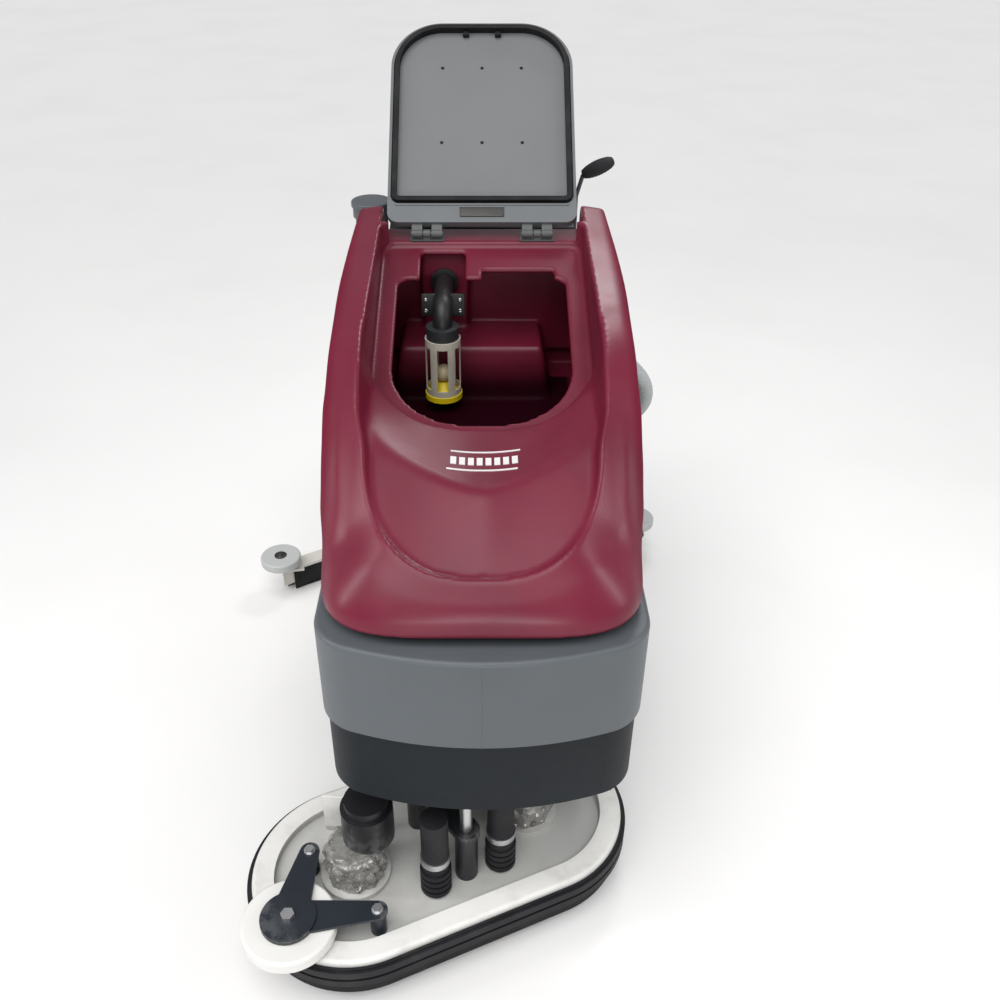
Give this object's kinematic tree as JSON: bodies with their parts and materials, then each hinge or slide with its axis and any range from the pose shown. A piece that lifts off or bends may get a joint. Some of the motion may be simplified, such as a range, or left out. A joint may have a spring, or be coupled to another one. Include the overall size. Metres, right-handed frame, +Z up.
{
  "type": "walk-behind floor scrubber",
  "caption": "Walk-behind floor scrubber with offset twin-brush deck, stacked solution and recovery tanks, open tilting lid, swinging curved squeegee and operator console.",
  "frame": {"origin": "on the floor, under the centre of the machine's box at rest without its hose", "axes": "+Z up, +Y from the brush deck towards the operator's handle, +X to the side that the vacuum hose bulges from"},
  "size_m": [1.1204, 1.508, 1.4395],
  "materials": {
    "frame_steel": "satin",
    "slate_plastic": "matte",
    "tank_grey": "satin",
    "battery_black": "satin",
    "cast_housing": "satin",
    "bright_steel": "polished",
    "motor_black": "satin",
    "console_slate": "matte",
    "panel_black": "satin",
    "handle_paint": "satin",
    "grip_rubber": "matte",
    "tank_burgundy": "satin",
    "fitting_black": "satin",
    "hinge_grey": "satin",
    "collar_grey": "matte",
    "clear_plastic": "clear gloss",
    "cap_yellow": "satin",
    "ball_ivory": "gloss",
    "lid_frame": "matte",
    "lid_grey": "satin",
    "seal_black": "matte",
    "deck_white": "satin",
    "bumper_black": "matte",
    "cast_aluminium": "cast",
    "zinc_steel": "zinc plated",
    "bracket_slate": "satin",
    "roller_white": "satin",
    "brush_fibre": "bristle",
    "tyre_black": "matte",
    "caster_steel": "zinc plated",
    "caster_grey": "matte",
    "squeegee_white": "satin",
    "roller_grey": "satin",
    "hose_grey": "ribbed",
    "button_green": "gloss",
    "button_blue": "gloss"
  },
  "bodies": {
    "chassis": {"chassis_frame": "frame_steel", "base_skirt": "slate_plastic", "solution_tank": "tank_grey", "battery_cases": "battery_black", "transaxle": "cast_housing", "guide_rods": "bright_steel", "actuator_body": "motor_black", "squeegee_rail": "frame_steel", "tank_hinge_base": "frame_steel", "console_housing": "console_slate", "control_panel": "panel_black", "handle_bar": "handle_paint", "handle_grips": "grip_rubber", "fill_neck": "tank_grey"},
    "recovery": {"recovery_tank": "tank_burgundy", "vacuum_motor": "motor_black", "hose_port": "fitting_black", "lid_hinge_base": "hinge_grey", "float_elbow": "fitting_black", "float_collar": "collar_grey", "float_cage": "clear_plastic", "float_cap": "cap_yellow"},
    "float": {"float_ball": "ball_ivory"},
    "lid": {"lid_shell": "lid_frame", "lid_panel": "lid_grey", "lid_gasket": "seal_black", "lid_hinge_arms": "hinge_grey"},
    "deck": {"deck_housing": "deck_white", "deck_bumper": "bumper_black", "splash_skirt": "seal_black", "motor_flanges": "deck_white", "gear_housings": "cast_aluminium", "brush_motors": "motor_black", "spring_posts": "bumper_black", "deck_fasteners": "zinc_steel", "deck_hanger": "frame_steel", "roller_bracket": "bracket_slate"},
    "deck_roller": {"roller_wheel": "roller_white"},
    "left_brush": {"brush_left": "brush_fibre"},
    "right_brush": {"brush_right": "brush_fibre"},
    "left_wheel": {"drive_wheel_left": "tyre_black"},
    "right_wheel": {"drive_wheel_right": "tyre_black"},
    "left_caster": {"caster_fork_left": "caster_steel"},
    "right_caster": {"caster_fork_right": "caster_steel"},
    "left_caster_wheel": {"caster_wheel_left": "caster_grey"},
    "right_caster_wheel": {"caster_wheel_right": "caster_grey"},
    "squeegee_carrier": {"squeegee_yoke": "frame_steel", "vacuum_hose": "hose_grey"},
    "squeegee": {"squeegee_body": "squeegee_white", "squeegee_blades": "seal_black"},
    "left_squeegee_roller": {"squeegee_roller_left": "roller_grey"},
    "right_squeegee_roller": {"squeegee_roller_right": "roller_grey"},
    "key": {"key_switch": "zinc_steel"},
    "knob": {"speed_knob": "panel_black"},
    "brush_button": {"button_brush": "button_green"},
    "vacuum_button": {"button_vacuum": "button_blue"},
    "bail": {"drive_bail": "bright_steel"},
    "filler_cap": {"fill_lid": "tank_grey"},
    "lever": {"squeegee_lever": "bright_steel", "lever_grip": "grip_rubber"}
  },
  "joints": [
    {"name": "tank_tilt", "type": "hinge", "parent": "chassis", "child": "recovery", "pos_m": [0.33892, -0.0265, 0.749], "axis": [0, 1, 0], "range_deg": [0, 60], "deforming": ["vacuum_hose"]},
    {"name": "lid_hinge", "type": "hinge", "parent": "recovery", "child": "lid", "pos_m": [0.05592, 0.3335, 1.09], "axis": [1, 0, 0], "range_deg": [0, 158]},
    {"name": "float_rise", "type": "slide", "parent": "recovery", "child": "float", "axis": [0, 0, 1], "range_m": [0, 0.062]},
    {"name": "deck_lift", "type": "slide", "parent": "chassis", "child": "deck", "axis": [0, 0, 1], "range_m": [0, 0.04]},
    {"name": "left_brush_spin", "type": "hinge", "parent": "deck", "child": "left_brush", "pos_m": [-0.19008, -0.5285, 0.05], "axis": [0, 0, 1], "continuous": true},
    {"name": "right_brush_spin", "type": "hinge", "parent": "deck", "child": "right_brush", "pos_m": [0.14192, -0.3795, 0.05], "axis": [0, 0, 1], "continuous": true},
    {"name": "deck_roller_spin", "type": "hinge", "parent": "deck", "child": "deck_roller", "pos_m": [-0.29608, -0.6665, 0.145], "axis": [0, 0, 1], "continuous": true},
    {"name": "left_wheel_spin", "type": "hinge", "parent": "chassis", "child": "left_wheel", "pos_m": [-0.15908, -0.0265, 0.125], "axis": [1, 0, 0], "continuous": true},
    {"name": "right_wheel_spin", "type": "hinge", "parent": "chassis", "child": "right_wheel", "pos_m": [0.27092, -0.0265, 0.125], "axis": [1, 0, 0], "continuous": true},
    {"name": "left_caster_swivel", "type": "hinge", "parent": "chassis", "child": "left_caster", "pos_m": [-0.14408, 0.3235, 0.18], "axis": [0, 0, 1], "continuous": true},
    {"name": "right_caster_swivel", "type": "hinge", "parent": "chassis", "child": "right_caster", "pos_m": [0.25592, 0.3235, 0.18], "axis": [0, 0, 1], "continuous": true},
    {"name": "left_caster_spin", "type": "hinge", "parent": "left_caster", "child": "left_caster_wheel", "pos_m": [-0.14408, 0.3585, 0.05], "axis": [1, 0, 0], "continuous": true},
    {"name": "right_caster_spin", "type": "hinge", "parent": "right_caster", "child": "right_caster_wheel", "pos_m": [0.25592, 0.3585, 0.05], "axis": [1, 0, 0], "continuous": true},
    {"name": "lever_pull", "type": "hinge", "parent": "chassis", "child": "lever", "pos_m": [0.27192, 0.6135, 0.975], "axis": [-1, 0, 0], "range_deg": [0, 45]},
    {"name": "squeegee_lift", "type": "slide", "parent": "chassis", "child": "squeegee_carrier", "axis": [0, 0, 1], "range_m": [0, 0.05], "deforming": ["vacuum_hose"]},
    {"name": "squeegee_swing", "type": "hinge", "parent": "squeegee_carrier", "child": "squeegee", "pos_m": [0.05592, 0.2735, 0.17], "axis": [0, 0, 1], "range_deg": [-30, 9.4], "deforming": ["vacuum_hose"]},
    {"name": "left_squeegee_roller_spin", "type": "hinge", "parent": "squeegee", "child": "left_squeegee_roller", "pos_m": [-0.50523, 0.47776, 0.112], "axis": [0, 0, 1], "continuous": true},
    {"name": "right_squeegee_roller_spin", "type": "hinge", "parent": "squeegee", "child": "right_squeegee_roller", "pos_m": [0.50523, 0.66686, 0.112], "axis": [0, 0, 1], "continuous": true},
    {"name": "key_turn", "type": "hinge", "parent": "chassis", "child": "key", "pos_m": [-0.05408, 0.5645, 1.052], "axis": [0, -0.5182, -0.8553], "range_deg": [0, 60]},
    {"name": "speed_turn", "type": "hinge", "parent": "chassis", "child": "knob", "pos_m": [0.15092, 0.56878, 1.0494], "axis": [0, -0.5182, -0.8553], "range_deg": [0, 270]},
    {"name": "brush_button_press", "type": "slide", "parent": "chassis", "child": "brush_button", "axis": [0, -0.5182, -0.8553], "range_m": [0, 0.003], "stiffness_N_per_m": 600},
    {"name": "vacuum_button_press", "type": "slide", "parent": "chassis", "child": "vacuum_button", "axis": [0, -0.5182, -0.8553], "range_m": [0, 0.003], "stiffness_N_per_m": 600},
    {"name": "bail_squeeze", "type": "hinge", "parent": "chassis", "child": "bail", "pos_m": [0.05592, 0.6795, 0.9], "axis": [1, 0, 0], "range_deg": [0, 15], "stiffness_Nm_per_rad": 0.8},
    {"name": "filler_cap_hinge", "type": "hinge", "parent": "chassis", "child": "filler_cap", "pos_m": [-0.19008, 0.5125, 1.104], "axis": [-1, 0, 0], "range_deg": [0, 110]}
  ],
  "couplings": [
    {"joint": "squeegee_lift", "follows": "lever_pull", "m_per_rad": 0.0636}
  ]
}
